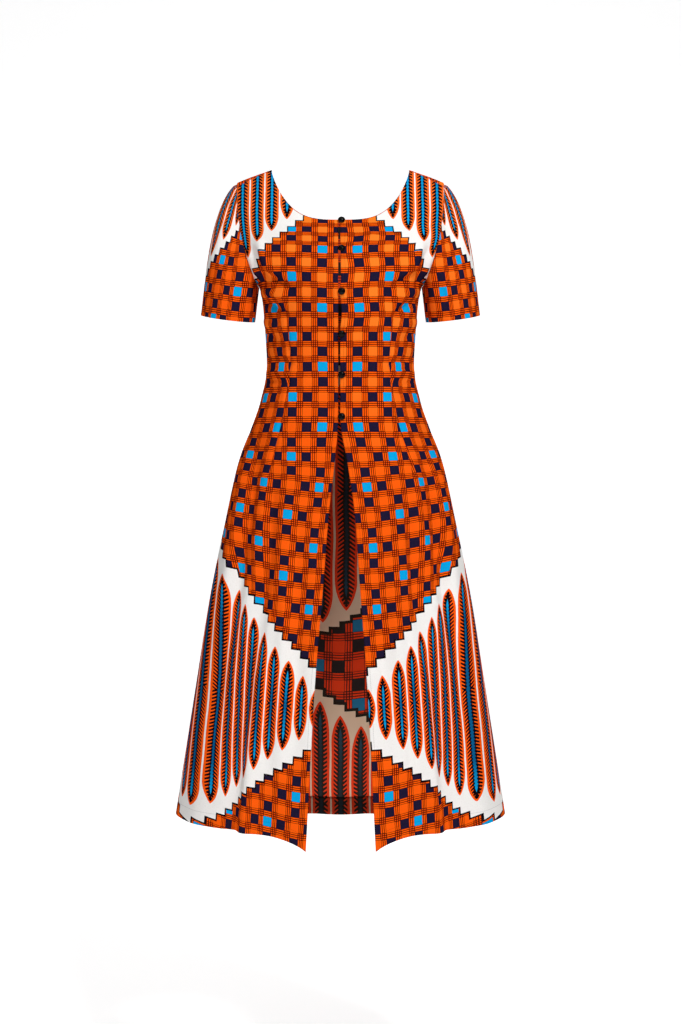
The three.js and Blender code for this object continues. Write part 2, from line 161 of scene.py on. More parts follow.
def neck_edge(drop, side):
    """The neckline from the centre to the shoulder seam, as distances across and reaches."""
    t = (1 - np.linspace(0, 1, FINE)[:-1]) * np.pi / 2
    x = NECK_HALF * quarter(np.cos(t), NECK_SHARP["across"])
    q = reach_of(x, -drop * quarter(np.sin(t), NECK_SHARP["down"]))
    keep = q > neck_point[1]
    return np.concatenate([np.stack([x, side * q], axis=-1)[keep], [neck_point]])


def armhole_edge(side):
    """The armhole from the underarm to the shoulder point, as distances across and reaches."""
    low = half_at(1.0)
    t = (1 - np.linspace(0, 1, FINE)[:-1]) * np.pi / 2
    x = low + (SHOULDER_HALF - low) * quarter(np.cos(t), ARMHOLE_SHARP["across"])
    top = SHOULDER_DROP if side > 0 else ridge(SHOULDER_HALF)
    fall = quarter(np.sin(t), ARMHOLE_SHARP["down"])
    z = np.maximum(UNDERARM, top + (UNDERARM - top) * fall)
    return np.concatenate([np.stack([x, side * reach_of(x, z)], axis=-1), [shoulder_point]])


def skirt_rows(side, start_x, folds, dip, shares):
    """Rows of points from the hem to the underarm, with the skirt's folds and the hem's dip."""
    s = np.sin(np.linspace(0, 1, FINE) * np.pi / 2)
    fold = sum(f["out"] * np.exp(-(((s - f["at"]) / f["width"]) ** 2)) for f in folds)
    rows = []
    for level in np.linspace(HEM, UNDERARM, SKIRT_ROWS + 1):
        grown = smooth((FOLD_START - level) / (FOLD_START - HEM))
        end = half_at(reach(level))
        x = start_x(level) + (end - start_x(level)) * s
        low = level - grown * dip(s)
        points = trunk(np.minimum(x, half_at(reach(low))), side * reach(low))
        outward = np.stack([points[:, 0], points[:, 1], np.zeros(FINE)], axis=-1)
        outward /= np.linalg.norm(outward, axis=1)[:, None]
        rows.append(shared(points + outward * (grown * fold)[:, None], shares))
    return rows


def chest_rows(side, corner, neck_drop, underarm_row, neck_columns, shares):
    """Rows of points from the underarm to the neck and shoulder, blended from the four edges."""
    bottom = np.stack([underarm_row[:, 0], np.full(len(shares), float(side))], axis=-1)
    on_neck = np.linspace(0, 1, neck_columns + 1)
    neck = neck_edge(neck_drop, side)
    top = shared(neck, on_neck, along(trunk(neck[:, 0], neck[:, 1])))
    top[0] = corner
    on_seam = np.linspace(0, 1, len(shares) - neck_columns)[1:, None]
    seam = neck_point + (shoulder_point - neck_point) * on_seam
    top = np.concatenate([top, seam * [1, 1]])
    armhole = armhole_edge(side)
    armhole_length = along(trunk(armhole[:, 0], armhole[:, 1]))
    u = shares[:, None]
    rows = []
    for r in range(1, CHEST_ROWS + 1):
        v = np.sin(r / CHEST_ROWS * np.pi / 2)
        inner = bottom[0] + (corner - bottom[0]) * v
        outer = shared(armhole, np.array([v]), armhole_length)[0]
        upright = (1 - v) * bottom + v * top
        across = (1 - u) * inner + u * outer
        corners = (1 - v) * ((1 - u) * bottom[0] + u * bottom[-1])
        corners = corners + v * ((1 - u) * top[0] + u * top[-1])
        place = upright + across - corners
        rows.append(trunk(place[:, 0], place[:, 1]))
    return rows


def half_piece(side, start_x, folds, neck_drop, columns, dip):
    """Half a panel's points, rows from the hem up, columns from the centre edge to the side."""
    shares = np.linspace(0, 1, columns + 1)
    neck_columns = round(columns * 2 / 3)  # the rest lie on the shoulder seam
    corner = np.array([start_x(-neck_drop), side * reach_of(0.0, -neck_drop)])
    skirt = skirt_rows(side, start_x, folds, dip, shares)
    chest = chest_rows(side, corner, neck_drop, skirt[-1], neck_columns, shares)
    net = np.array(skirt + chest)
    towards = net[:, -2] - net[:, -1]
    net[:, -1] += towards / np.linalg.norm(towards, axis=1)[:, None] * SEAM_GAP / 2
    towards = net[-2, neck_columns:] - net[-1, neck_columns:]
    net[-1, neck_columns:] += towards / np.linalg.norm(towards, axis=1)[:, None] * SEAM_GAP / 2
    return net


# ---- The cut ----
# Every panel carries two maps in metres: "cut", the place on the cloth before it was sewn, which
# the print follows, and "edges", how far a place is from the centre edge and from the hem.
PRINT_ZERO = -0.4933  # a row of squares lies on the centre edge at this height
# How much the cloth is eased down the body, and how steeply its rows climb towards the side.
EASED = [
    {"level": 0.0, "scale": 1.15, "rise": 0.07},
    {"level": -0.110, "scale": 1.08, "rise": 0.07},
    {"level": -0.122, "scale": 1.15, "rise": 0.07},
    {"level": -0.150, "scale": 1.25, "rise": 0.07},
    {"level": -0.175, "scale": 0.96, "rise": 0.07},
    {"level": -0.250, "scale": 1.01, "rise": 0.07},
    {"level": -0.300, "scale": 1.045, "rise": 0.06},
    {"level": -0.380, "scale": 1.01, "rise": 0.03},
    {"level": -0.490, "scale": 0.985, "rise": 0.01},
    {"level": -0.601, "scale": 1.0, "rise": 0.12},
    {"level": -0.700, "scale": 1.0, "rise": 0.15},
    {"level": -1.000, "scale": 1.0, "rise": 0.17},
    {"level": -1.270, "scale": 1.0, "rise": 0.28},
]
RISE_FROM = 0.05  # the rows start level at the centre edge and climb towards the side
SECTION_STEPS = 32
NO_EDGE = 1.0  # moves a piece's edge distances past every row of stitches
scale_at = curve(EASED, "scale")
rise_at = curve(EASED, "rise")


def cut_height(z, depth_at):
    """The place on the cloth, up the centre edge, of each height on a panel."""
    levels = np.linspace(0, -1.30, 1301)  # one for each millimetre
    depth = depth_at(reach(levels))
    steps = np.hypot(np.diff(levels), np.diff(depth)) * scale_at(reach(levels[1:]))
    down = np.concatenate([[0], np.cumsum(steps)])
    zero = np.interp(-PRINT_ZERO, -levels, down)
    return zero - np.interp(-z, -levels, down)


def section_length(x, q):
    """The length of cloth from the centre to x, round the form's section at a reach."""
    half = half_at(np.abs(q))
    square = square_at(np.abs(q))
    depth = np.where(q > 0, front_at(np.abs(q)), back_at(np.abs(q)))
    angle = np.arcsin(np.clip(x / half, -1, 1))
    total = np.zeros_like(x)
    was_x = np.zeros_like(x)
    was_y = depth
    for k in range(1, SECTION_STEPS + 1):
        now_x = half * np.sin(angle * k / SECTION_STEPS)
        now_y = depth * np.maximum(1 - (np.abs(now_x) / half) ** square, 0) ** (1 / square)
        total = total + np.hypot(now_x - was_x, now_y - was_y)
        was_x, was_y = now_x, now_y
    return total * np.sign(x)


def cut_map(net, start_x, depth_at, side):
    """The flat place of each point of a half panel, from its centre edge and its print's zero."""
    steps = np.linalg.norm(np.diff(net[:, :, :2], axis=1), axis=2)
    u = np.concatenate([np.zeros((len(net), 1)), np.cumsum(steps, axis=1)], axis=1)
    chest = net[SKIRT_ROWS:]
    q = side * reach_of(chest[:, :, 0], np.minimum(chest[:, :, 2], ridge(chest[:, :, 0])))
    starts = start_x(np.maximum(chest[:, :, 2], UNDERARM))
    u[SKIRT_ROWS:] = section_length(chest[:, :, 0], q) - section_length(starts, q)
    z = net[:, :, 2]
    climb = rise_at(reach(np.minimum(z, 0))) * u**2 / (u + RISE_FROM)
    v = cut_height(z - climb, depth_at)
    return np.stack([u, v], axis=-1)


def edge_map(net, flat):
    """How far each point is from the centre edge and, up its own column, from the hem."""
    up = np.linalg.norm(np.diff(net, axis=0), axis=2)
    height = np.concatenate([np.zeros((1, net.shape[1])), np.cumsum(up, axis=0)])
    return np.stack([np.abs(flat[:, :, 0]), height], axis=-1)


def placed(name, data):
    """A new object in the scene."""
    made = bpy.data.objects.new(name, data)
    bpy.context.scene.collection.objects.link(made)
    return made


def cloth(name, net, flat, edges, finishes, wall, outward, closed=False, dart=None):
    """A sheet on a net of points, with its maps, thickened inwards."""
    rows, columns = net.shape[:2]
    bm = bmesh.new()
    bmesh.ops.create_grid(bm, x_segments=columns - 1, y_segments=rows - 1, size=0.5)
    if not outward:
        bmesh.ops.reverse_faces(bm, faces=bm.faces)
    mesh = bpy.data.meshes.new(name)
    bm.to_mesh(mesh)
    bm.free()
    places = np.empty(len(mesh.vertices) * 3)
    mesh.vertices.foreach_get("co", places)
    places = places.reshape(-1, 3)
    across = np.rint((places[:, 0] + 0.5) * (columns - 1)).astype(int)
    up = np.rint((places[:, 1] + 0.5) * (rows - 1)).astype(int)
    mesh.vertices.foreach_set("co", net[up, across].ravel())
    corners = np.empty(len(mesh.loops), dtype=int)
    mesh.loops.foreach_get("vertex_index", corners)
    taken = np.zeros((len(corners), 2))
    if dart:
        first = across[corners].reshape(-1, 4).min(axis=1).repeat(4)
        taken[:, 0] = np.where(first >= dart["column"], dart["taken"][up[corners]], 0)
    for title, values, more in (("cut", flat, taken), ("edges", edges, 0)):
        layer = mesh.uv_layers.new(name=title)
        layer.data.foreach_set("uv", (values[up, across][corners] + more).ravel())
    if closed:
        bm = bmesh.new()
        bm.from_mesh(mesh)
        bmesh.ops.remove_doubles(bm, verts=bm.verts, dist=1e-6)
        bm.to_mesh(mesh)
        bm.free()
    for finish in finishes:
        mesh.materials.append(finish)
    mesh.shade_smooth()
    piece = placed(name, mesh)
    solid = piece.modifiers.new("wall", "SOLIDIFY")
    solid.thickness = wall
    solid.offset = -1
    solid.material_offset = 1
    solid.material_offset_rim = 0
    return piece


# ---- The printed cotton ----
# A firm plain-woven cotton, printed with a check of navy, light blue and plain squares between
# lined bands, and with stepped white panels full of long leaves. Its wrong side is duller.
PITCH = 0.0288  # one square and one band, across
ROW_PITCH = 0.0280
# Shares of the pitch: a square's half width, and a band's two pairs of lines from its middle.
CHECK = {"square": 0.302, "pair": 0.131, "apart": 0.0655, "line": 0.0265}
LINE_INK = 0.96
PAINTED_LIGHT = {"over": 0.35, "most": 0.65}  # painted light: the plain squares are painted a lighter amber up the cloth, as if lit from above
LEAF_SHARE = 0.455  # of the pitch, from a leaf's middle to its side
LEAF_TIP = 0.042
LEAF_RIM = 0.0034
# A leaf's black barbs, and its beaded dark vein with a blue core that starts below the tip.
BARB = {"slant": 0.9, "share": 0.86, "thinner": 36.0, "start": 0.006}
VEIN = {"bead": 0.0007, "dark": 0.0040, "dark_start": 0.0165, "line": 0.0014, "line_start": 0.005,
        "blue": 0.0021, "blue_start": 0.0175, "point": 0.2, "glow_start": 0.02, "glow": 0.06}
PRINT_SWAY = {"fine": 0.0004, "across": 0.005, "up": 0.004}
STITCH = {"pitch": 0.0032, "share": 0.72, "half": 0.00045, "ink": 0.3, "sunk": 0.0003}
RELIEF = {"weave": 0.00006, "slub": 0.0001, "crumple": 0.0008}
DYE = {"from": 0.45, "strength": 0.22}
WRONG_SIDE = {"deeper": 0.55, "faded": 0.03, "tint": (244, 223, 196), "blue": 0.4}


def srgb(red, green, blue):
    def linear(value):
        share = value / 255
        return share / 12.92 if share <= 0.04045 else ((share + 0.055) / 1.055) ** 2.4
    return (linear(red), linear(green), linear(blue), 1.0)


ORANGE = srgb(246, 92, 14)
BAND = srgb(250, 90, 8)
CROSSING = srgb(244, 80, 8)
LINE = srgb(26, 8, 6)
# painted light: a lit amber copy of the orange of the plain squares
PAINTED_LIGHT_AMBER = srgb(252, 138, 44)
NAVY = srgb(27, 24, 50)
BLUE = srgb(2, 160, 222)
WHITE = srgb(240, 237, 234)
BLACK = srgb(12, 9, 14)
LEAF = srgb(246, 88, 14)
# painted light: a lit amber copy of the leaf orange, for the leaves on the shoulders and sleeves
# high on the body
PAINTED_LIGHT_AMBER_LEAF = srgb(236, 100, 28)
LEAF_BLUE = srgb(4, 86, 134)
LEAF_BRIGHT = srgb(6, 152, 214)
RUST = srgb(120, 40, 16)


class Wire:
    """A number in a material's nodes; Python's operators join such numbers with Math nodes."""

    def __init__(self, tree, socket=None):
        self.tree = tree
        self.socket = socket

    def node(self, kind, settings, inputs, output=0):
        made = self.tree.nodes.new(kind)
        for name, value in settings.items():
            setattr(made, name, value)
        for name, value in inputs.items():
            socket = made.inputs[name]
            if isinstance(value, Wire):
                self.tree.links.new(value.socket, socket)
            else:
                socket.default_value = value
        return Wire(self.tree, made.outputs[output])

    def math(self, operation, *others):
        inputs = dict(enumerate((self, *others)))
        return self.node("ShaderNodeMath", {"operation": operation}, inputs)

    def __add__(self, other):
        return self.math("ADD", other)

    def __sub__(self, other):
        return self.math("SUBTRACT", other)

    def __mul__(self, other):
        return self.math("MULTIPLY", other)

    def __truediv__(self, other):
        return self.math("DIVIDE", other)

    def __rsub__(self, other):
        return self.math("MULTIPLY", -1.0).math("ADD", other)

    def __lt__(self, other):
        return self.math("LESS_THAN", other)

    def __gt__(self, other):
        return self.math("GREATER_THAN", other)

    def __abs__(self):
        return self.math("ABSOLUTE")

    __radd__ = __add__
    __rmul__ = __mul__

    def floor(self):
        return self.math("FLOOR")

    def fract(self):
        return self.math("FRACT")

    def modulo(self, other):
        return self.math("FLOORED_MODULO", other)

    def clamped(self):
        return self.node("ShaderNodeClamp", {}, {"Value": self})

    def mix(self, colour, under):
        """One colour over another, as thickly as this number says."""
        inputs = {0: self, 6: under, 7: colour}
        return self.node("ShaderNodeMix", {"data_type": "RGBA"}, inputs, output=2)

    def feed(self, shader, name):
        self.tree.links.new(self.socket, shader.inputs[name])


def new_finish(name):
    """A new material, its shader, and the wire that its other nodes start from."""
    material = bpy.data.materials.new(name)
    material.use_nodes = True
    tree = material.node_tree
    return material, tree.nodes["Principled BSDF"], Wire(tree)


def largest(first, second):
    return first.math("MAXIMUM", second)


def check(u, v, painted_light_shift):
    """The check: squares in turn navy, blue and plain, between bands of four thin lines; painted
    light turns the plain squares amber up the cloth.
    """
    across = u / PITCH + 0.5
    up = v / ROW_PITCH + 0.5
    i = across.floor()
    j = up.floor()
    off_u = abs(across.fract() - 0.5)
    off_v = abs(up.fract() - 0.5)
    in_column = off_u < CHECK["square"]
    in_row = off_v < CHECK["square"]
    square = in_column * in_row
    navy = square * (1 - (i + j).modulo(2.0))
    blue = square * (1 - j.modulo(2.0)) * (abs((i - j).modulo(4.0) - 1.0) < 0.5)
    lines = []
    for off in (off_u, off_v):
        from_pair = abs((0.5 - off) - CHECK["pair"])
        lines.append(abs(from_pair - CHECK["apart"]) < CHECK["line"])
    line = largest(lines[0], lines[1]) * (1 - square)
    # painted light: the plain squares go from orange to a lit amber up the cloth, shifted per piece
    # to be lighter on the key light's side
    light = ((v / PAINTED_LIGHT["over"] + painted_light_shift).clamped() * PAINTED_LIGHT["most"]).mix(PAINTED_LIGHT_AMBER, ORANGE)
    colour = (1 - square).mix(BAND, light)
    colour = ((1 - in_column) * (1 - in_row)).mix(CROSSING, colour)
    colour = (line * LINE_INK).mix(LINE, colour)
    colour = navy.mix(NAVY, colour)
    return blue.mix(BLUE, colour)


def panel(u, v, one, under, brightness):
    """A stepped white diamond with a black outline, full of leaves, over another colour."""
    along_u = u - one["at"][0]
    off_u = abs(along_u)
    off_v = abs(v - one["at"][1])
    rise = one["step"] * one["slope"]
    inside = off_v < one["half"] - (off_u / one["step"]).floor() * rise
    wider = (off_u - one["outline"]).math("MAXIMUM", 0.0)
    outline = off_v < one["half"] + one["outline"] - (wider / one["step"]).floor() * rise
    colour = outline.mix(BLACK, under)
    colour = inside.mix(WHITE, colour)
    lead = one.get("lead", 0.0)
    leaf_at = (((along_u - lead) / one["pitch"]).floor() + 0.5) * one["pitch"] + lead
    off = abs(along_u - leaf_at)
    end = one["half"] - abs(leaf_at) * one["slope"] - one["margin"] - off_v
    tip = 1 - (end / LEAF_TIP).clamped()
    width = (1 - tip * tip).math("POWER", 0.8) * (LEAF_SHARE * one["pitch"])
    leaf = (off < width) * (end > 0.0)
    colour = leaf.mix(one.get("leaf", LEAF), colour)
    barb = ((off_v - off * BARB["slant"]) / one["barb"]).fract()
    hatch = (off < width - LEAF_RIM) * (barb < BARB["share"] - off * BARB["thinner"])
    colour = (hatch * (end > BARB["start"])).mix(BLACK, colour)
    bead = (off_v * (2 * np.pi / one["barb"])).math("SINE") * VEIN["bead"]
    for part in ("dark", "line"):
        core = (off < bead + VEIN[part]) * (end > VEIN[part + "_start"])
        colour = (core * leaf).mix(BLACK, colour)
    glow = ((end - VEIN["glow_start"]) / one.get("glow", VEIN["glow"])).clamped()
    blue = glow.mix(LEAF_BLUE, LEAF_BRIGHT)
    stripe = (off < bead + VEIN["blue"]) * (off < (end - VEIN["blue_start"]) * VEIN["point"])
    return (stripe * brightness).mix(blue, colour)


def noise(place, scale, detail):
    """A patternless number over the cut cloth."""
    return place.node("ShaderNodeTexNoise", {"noise_dimensions": "2D"}, {
        "Vector": place, "Scale": scale, "Detail": detail})


def cloth_map(start, title):
    """One of the cloth's maps: the place on it, and its two numbers."""
    place = start.node("ShaderNodeUVMap", {"uv_map": title}, {})
    first = start.node("ShaderNodeSeparateXYZ", {}, {0: place})
    return place, first, Wire(start.tree, first.socket.node.outputs[1])


def blend(start, kind, share, first, second):
    return start.node("ShaderNodeMix", {"data_type": "RGBA", "blend_type": kind}, {
        0: share, 6: first, 7: second}, output=2)


def duller(start, colour, dark):
    """The wrong side of the print: deeper, a little faded and warmer, and where dark is below 1,
    painted darker as painted shade.
    """
    deeper = blend(start, "MULTIPLY", WRONG_SIDE["deeper"], colour, colour)
    faded = blend(start, "MIX", WRONG_SIDE["faded"], deeper, WHITE)
    # a dark below 1 darkens the tint as painted shade; only the back's turn-up uses it
    tint = srgb(*(value * dark for value in WRONG_SIDE["tint"]))
    return blend(start, "MULTIPLY", 1.0, faded, tint)


def stitches(from_edge, from_hem, edge_stitch, hem_stitch):
    """Two rows of topstitching, one along the edge and one round the hem."""
    down_edge = (from_hem / STITCH["pitch"]).fract() < STITCH["share"]
    round_hem = (from_edge / STITCH["pitch"]).fract() < STITCH["share"]
    edge_row = (abs(from_edge - edge_stitch) < STITCH["half"]) * down_edge
    hem_row = (abs(from_hem - hem_stitch) < STITCH["half"]) * round_hem
    return largest(edge_row, hem_row)


def printed_cotton(
        name, shift, panels, wrong_side=False, grow=1.0, dark=1.0, painted_light_shift=0.0,
        edge_stitch=0.0065, hem_stitch=0.024):
    """The cotton of one piece: where its check starts and where its white panels lie."""
    material, shader, start = new_finish(name)
    grain, cut_u, cut_v = cloth_map(start, "cut")
    uneven = (noise(grain, 60.0, 2.0) - 0.5) * PRINT_SWAY["fine"]
    sway_u = (noise(grain, 6.0, 1.0) - 0.5) * PRINT_SWAY["across"]
    sway_v = (noise(grain, 9.0, 1.0) - 0.5) * PRINT_SWAY["up"]
    u = (cut_u + shift[0]) / grow + uneven + sway_u
    v = (cut_v + shift[1]) / grow + uneven + sway_v
    colour = check(u, v, painted_light_shift)
    for one in panels:
        colour = panel(u, v, one, colour, WRONG_SIDE["blue"] if wrong_side else 1.0)
    stitch = stitches(*cloth_map(start, "edges")[1:], edge_stitch, hem_stitch)
    if wrong_side:
        colour = duller(start, colour, dark)
    else:
        dye = (noise(grain, 400.0, 3.0) - DYE["from"]).clamped() * DYE["strength"]
        colour = dye.mix(RUST, colour)
        colour = (stitch * STITCH["ink"]).mix(BLACK, colour)
    weave = start.node("ShaderNodeTexChecker", {}, {"Vector": grain, "Scale": 2600.0}, output=1)
    height = weave * RELIEF["weave"] + noise(grain, 1500.0, 2.0) * RELIEF["slub"]
    height = height + noise(grain, 28.0, 3.0) * RELIEF["crumple"] - stitch * STITCH["sunk"]
    bump = start.node("ShaderNodeBump", {}, {"Strength": 0.7, "Distance": 1.0, "Height": height})
    colour.feed(shader, "Base Color")
    bump.feed(shader, "Normal")
    shader.inputs["Roughness"].default_value = 0.82
    shader.inputs["Specular IOR Level"].default_value = 0.0
    return material


# ---- Fronts ----
# Two panels of single cotton, shaped by a fish-eye dart each, with the front edge and the hem
# turned in and topstitched. They meet edge to edge down to the last button, then swing apart.
# How far each edge lies from the middle line, down the front.
OPENING = [
    {"level": 0.0, "right": 0.0042, "left": -0.0012},
    {"level": -0.474, "right": 0.0042, "left": -0.0004},
    {"level": -0.560, "right": 0.0108, "left": 0.013},
    {"level": -0.650, "right": 0.0212, "left": 0.026},
    {"level": -0.770, "right": 0.031, "left": 0.035},
    {"level": -0.943, "right": 0.0465, "left": 0.0485},
    {"level": -1.270, "right": 0.065, "left": 0.066},
]
BUTTON_HEIGHTS = [-0.107, -0.165, -0.245, -0.321, -0.396, -0.474]
BUTTON_OFF_CENTRE = 0.002
GAPE = 0.003  # of the left edge between the upper buttons
GAPING_BUTTONS = 3
FRONT_NECK_DROP = 0.105
FRONT_DIP = 0.018
CORNER_DIP = 0.022
FRONT_FOLDS = [
    {"at": 0.28, "width": 0.1, "out": -0.005},
    {"at": 0.44, "width": 0.055, "out": 0.009},
    {"at": 0.56, "width": 0.06, "out": -0.009},
    {"at": 0.8, "width": 0.09, "out": 0.006},
]
FRONT_COLUMNS = 96
WALL = 0.0011  # of the cloth
DART = {"share": 0.505, "top": -0.272, "waist": -0.42, "low": -0.585, "taken": 0.037}
DART_RIDGE = {"out": 0.0015, "width": 0.014}
DART_GROOVE = {"out": -0.0034, "width": 0.0032}
CREASE_DEPTH = 2.8  # times the depth that the marks below give
CREASE_SEAT = {"edge": 0.02, "side": 0.012}  # creases die out over these at the seams
BODICE_CREASES = [
    {"from": (0.152, -0.200), "to": (0.082, -0.242), "width": 0.0055, "out": -0.0030},
    {"from": (0.152, -0.230), "to": (0.092, -0.262), "width": 0.007, "out": 0.0022},
    {"from": (0.150, -0.248), "to": (0.092, -0.290), "width": 0.0055, "out": -0.0028},
    {"from": (0.148, -0.285), "to": (0.105, -0.318), "width": 0.006, "out": 0.0016},
    {"from": (0.146, -0.305), "to": (0.112, -0.335), "width": 0.005, "out": -0.0014},
    {"from": (0.168, -0.150), "to": (0.140, -0.235), "width": 0.007, "out": -0.0030},
    {"from": (0.158, -0.130), "to": (0.128, -0.225), "width": 0.009, "out": 0.0020},
    {"from": (0.142, -0.358), "to": (0.070, -0.378), "width": 0.0055, "out": -0.0018},
    {"from": (0.142, -0.384), "to": (0.078, -0.396), "width": 0.0055, "out": 0.0018},
    {"from": (0.148, -0.402), "to": (0.086, -0.410), "width": 0.0055, "out": -0.0018},
    {"from": (0.060, -0.400), "to": (0.010, -0.385), "width": 0.006, "out": -0.0010},
    {"from": (0.148, -0.415), "to": (0.100, -0.428), "width": 0.007, "out": -0.0012},
]
SKIRT_CREASES = [
    {"from": (0.120, -0.56), "to": (0.150, -0.95), "width": 0.012, "out": -0.0030},
    {"from": (0.150, -0.50), "to": (0.205, -0.90), "width": 0.012, "out": -0.0036},
    {"from": (0.174, -0.50), "to": (0.230, -0.94), "width": 0.013, "out": 0.0034},
    {"from": (0.100, -0.70), "to": (0.112, -1.18), "width": 0.014, "out": 0.0026},
    {"from": (0.072, -0.62), "to": (0.084, -1.14), "width": 0.016, "out": -0.0024},
    {"from": (0.190, -0.72), "to": (0.245, -1.12), "width": 0.015, "out": -0.0030},
]
LEFT_ONLY = [
    {"from": (0.128, -0.262), "to": (0.088, -0.300), "width": 0.005, "out": -0.0016},
    {"from": (0.072, -0.130), "to": (0.040, -0.150), "width": 0.010, "out": 0.0012},
]
RIGHT_ONLY = [
    {"from": (0.135, -0.240), "to": (0.100, -0.252), "width": 0.005, "out": 0.0014},
    {"from": (0.120, -0.340), "to": (0.080, -0.352), "width": 0.006, "out": -0.0012},
]
# A white panel: its middle on the cloth, the steps of its outline, and its leaves.
SIDE_PANEL = {
    "at": (0.293, -0.513), "half": 0.2706, "slope": 0.7245, "step": 0.0195, "margin": 0.022,
    "pitch": 0.031, "barb": 0.0067, "outline": 0.0030}
SHOULDER_PANEL = {
    "at": (0.195, 0.579), "half": 0.300, "slope": 1.2, "step": 0.0144, "margin": 0.020,
    "pitch": 0.0285, "barb": 0.0077, "outline": 0.0024, "glow": 0.5, "leaf": PAINTED_LIGHT_AMBER_LEAF}
# Cloth taken up across each part of the front by its shaping and, in the skirt, its flutes.
BODICE = {"top": -0.23, "over": 0.06}
SKIRT = {"top": -0.49, "over": 0.13}
LOW_SKIRT = {"top": -0.65, "over": 0.18}
EDGE_EASE = {"left": (0.0, 0.005), "right": (0.0010, 0.010)}
EDGE_EASE_OVER = 0.035  # from the front edge
SIDE_EASE = {"from": 0.085, "over": 0.06, "taken": 0.012}
FLUTE = {
    "place": [0.0, 0.05, 0.078, 0.10, 0.13, 0.15, 0.168, 0.186, 0.205, 0.23, 0.258, 0.30],
    "above": [0.0, 0.0, 0.0, 0.0, 0.0, 0.0025, 0.009, 0.016, 0.0215, 0.022, 0.022, 0.022],
    "below": [0.0, 0.001, 0.003, 0.0085, 0.015, 0.029, 0.039, 0.041, 0.037, 0.026, 0.012, 0.004]}


def net_normals(net):
    across = np.gradient(net, axis=1)
    up = np.gradient(net, axis=0)
    normal = np.cross(across, up)
    return normal / np.linalg.norm(normal, axis=2)[:, :, None]


def crease(across, height, mark):
    """How far one soft trough or ridge, from one place to another, moves each point."""
    (x0, z0), (x1, z1) = mark["from"], mark["to"]
    length = np.hypot(x1 - x0, z1 - z0)
    share = ((across - x0) * (x1 - x0) + (height - z0) * (z1 - z0)) / length**2
    off = ((across - x0) * (z1 - z0) - (height - z0) * (x1 - x0)) / length
    fade = np.sin(np.pi * np.clip(share, 0, 1)) ** 0.8
    return mark["out"] * fade * np.exp(-((off / mark["width"]) ** 2))


def taken_up(from_edge, z, opening):
    """The cloth taken up between the front edge and each place."""
    at_edge, past_edge = EDGE_EASE[opening]
    low = smooth((LOW_SKIRT["top"] - z) / LOW_SKIRT["over"])
    ease = at_edge + past_edge * (1 - np.exp(-from_edge / EDGE_EASE_OVER))
    ease = ease + (1 - low) * np.interp(from_edge, FLUTE["place"], FLUTE["above"])
    ease = ease + low * np.interp(from_edge, FLUTE["place"], FLUTE["below"])
    skirt = smooth((SKIRT["top"] - z) / SKIRT["over"])
    bodice = smooth((BODICE["top"] - z) / BODICE["over"]) * (1 - skirt)
    at_side = SIDE_EASE["taken"] * smooth((from_edge - SIDE_EASE["from"]) / SIDE_EASE["over"])
    return ease * skirt + at_side * bodice


def bump_across(off, shape):
    return shape["out"] * np.exp(-((off / shape["width"]) ** 2))


def front(name, opening, mirror, shift, creases, painted_light_shift):
    edge = curve(OPENING, opening)

    def start_x(level):
        x = edge(reach(level))
        if opening == "left":
            for top, low in zip(BUTTON_HEIGHTS, BUTTON_HEIGHTS[1:GAPING_BUTTONS + 1]):
                t = np.clip((top - level) / (top - low), 0, 1)
                x = x + GAPE * np.sin(np.pi * t) ** 2
        return x

    def dip(s):
        return FRONT_DIP * (1 - s) + CORNER_DIP * (1 - s) ** 8

    net = half_piece(1, start_x, FRONT_FOLDS, FRONT_NECK_DROP, FRONT_COLUMNS, dip)
    flat = cut_map(net, start_x, front_at, 1)
    edges = edge_map(net, flat)
    from_edge = flat[:, :, 0].copy()
    flat[:, :, 0] += taken_up(from_edge, net[:, :, 2], opening)
    lift = CREASE_DEPTH * sum(crease(net[:, :, 0], net[:, :, 2], mark) for mark in creases)
    column = round(DART["share"] * FRONT_COLUMNS)
    level = net[:, column, 2]
    above = (level - DART["top"]) / (DART["waist"] - DART["top"])
    below = (level - DART["low"]) / (DART["waist"] - DART["low"])
    depth = np.clip(np.minimum(above, below), 0, 1)
    off = from_edge - from_edge[:, column][:, None]
    pinch = bump_across(off, DART_RIDGE) + bump_across(off, DART_GROOVE)
    lift = lift + pinch * smooth(depth * 4)[:, None]
    to_side = from_edge[:, -1][:, None] - from_edge
    seat = smooth(from_edge / CREASE_SEAT["edge"]) * smooth(to_side / CREASE_SEAT["side"])
    net = net + net_normals(net) * (lift * seat)[:, :, None]
    net[:, :, 0] *= mirror
    panels = [SIDE_PANEL, SHOULDER_PANEL]
    outside = printed_cotton(name + "_cotton", shift, panels, painted_light_shift=painted_light_shift)
    inside = printed_cotton(name + "_inside", shift, panels, wrong_side=True)
    dart = {"column": column, "taken": DART["taken"] * depth}
    piece = cloth(
        name + "_cloth", net, flat, edges, (outside, inside), WALL, mirror > 0, dart=dart)
    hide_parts(name)
    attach(piece, "root")
    return net


shared_creases = BODICE_CREASES + SKIRT_CREASES
# the last number shifts the painted light, so the front on the key light's side is painted a lighter
# amber
left_net = front("front_left", "left", 1, (-0.0028, 0.0), shared_creases + LEFT_ONLY, 0.3)
front("front_right", "right", -1, (0.0003, 0.0), shared_creases + RIGHT_ONLY, 0.0)

